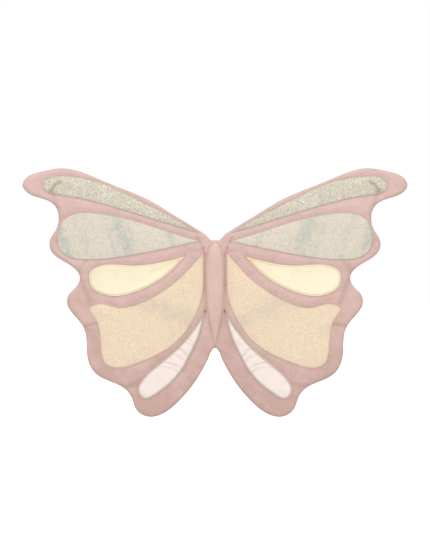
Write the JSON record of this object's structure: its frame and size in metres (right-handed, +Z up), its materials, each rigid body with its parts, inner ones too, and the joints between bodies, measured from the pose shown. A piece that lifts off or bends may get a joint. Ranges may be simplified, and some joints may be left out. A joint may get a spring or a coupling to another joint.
{
  "type": "fairy wings",
  "caption": "Padded velvet dress-up wings with a stuffed leaf-shaped body, sewn-on glitter, foil and satin panels, side folds and elastic arm loops.",
  "frame": {"origin": "middle of the outer face of the spine tape on the back, level with the middle of the stuffed body", "axes": "+X towards the wing on the right as seen from the decorated front, +Y out of the back towards the wearer, +Z up"},
  "size_m": [0.599, 0.1292, 0.3872],
  "materials": {
    "velvet": "short-pile dusty pink velvet",
    "wadding": "white polyester wadding",
    "lining": "plain woven pink cloth",
    "tape": "woven herringbone tape",
    "thread": "sewing thread",
    "wire": "soft flat wire",
    "elastic": "ribbed woven elastic",
    "silver_glitter": "coarse silver glitter cloth",
    "iridescent_glitter": "fine iridescent glitter cloth",
    "gold_foil": "crinkled pale gold foil cloth",
    "champagne_glitter": "fine champagne glitter cloth",
    "pink_satin": "pearly pale pink satin"
  },
  "bodies": {
    "centre": {"body_cover": "velvet", "body_filling": "wadding", "centre_front_velvet": "velvet", "centre_wadding": "wadding", "centre_back_lining": "lining", "spine_tape": "tape", "front_tacks": "thread", "back_tacks": "thread"},
    "left_wing": {"left_wing_front_velvet": "velvet", "left_wing_wadding": "wadding", "left_wing_back_lining": "lining", "left_wing_edge_wire": "wire", "left_silver_glitter_panel": "silver_glitter", "left_iridescent_glitter_panel": "iridescent_glitter", "left_gold_foil_panel": "gold_foil", "left_champagne_glitter_panel": "champagne_glitter", "left_pink_satin_panel": "pink_satin"},
    "left_strap": {"left_shoulder_strap": "elastic"},
    "right_wing": {"right_wing_front_velvet": "velvet", "right_wing_wadding": "wadding", "right_wing_back_lining": "lining", "right_wing_edge_wire": "wire", "right_silver_glitter_panel": "silver_glitter", "right_iridescent_glitter_panel": "iridescent_glitter", "right_gold_foil_panel": "gold_foil", "right_champagne_glitter_panel": "champagne_glitter", "right_pink_satin_panel": "pink_satin"},
    "right_strap": {"right_shoulder_strap": "elastic"}
  },
  "joints": [
    {"name": "left_wing_fold", "type": "hinge", "parent": "centre", "child": "left_wing", "pos_m": [-0.0155, -0.0072, 0], "axis": [0, 0, 1], "range_deg": [-15, 75], "stiffness_Nm_per_rad": 0.05},
    {"name": "right_wing_fold", "type": "hinge", "parent": "centre", "child": "right_wing", "pos_m": [0.0155, -0.0072, 0], "axis": [0, 0, -1], "range_deg": [-15, 75], "stiffness_Nm_per_rad": 0.05},
    {"name": "left_strap_swing", "type": "hinge", "parent": "centre", "child": "left_strap", "pos_m": [-0.0109, 0.0002, 0.025], "axis": [0, 0, 1], "range_deg": [-15, 30], "stiffness_Nm_per_rad": 0.002},
    {"name": "right_strap_swing", "type": "hinge", "parent": "centre", "child": "right_strap", "pos_m": [0.0109, 0.0002, 0.025], "axis": [0, 0, -1], "range_deg": [-15, 30], "stiffness_Nm_per_rad": 0.002}
  ]
}
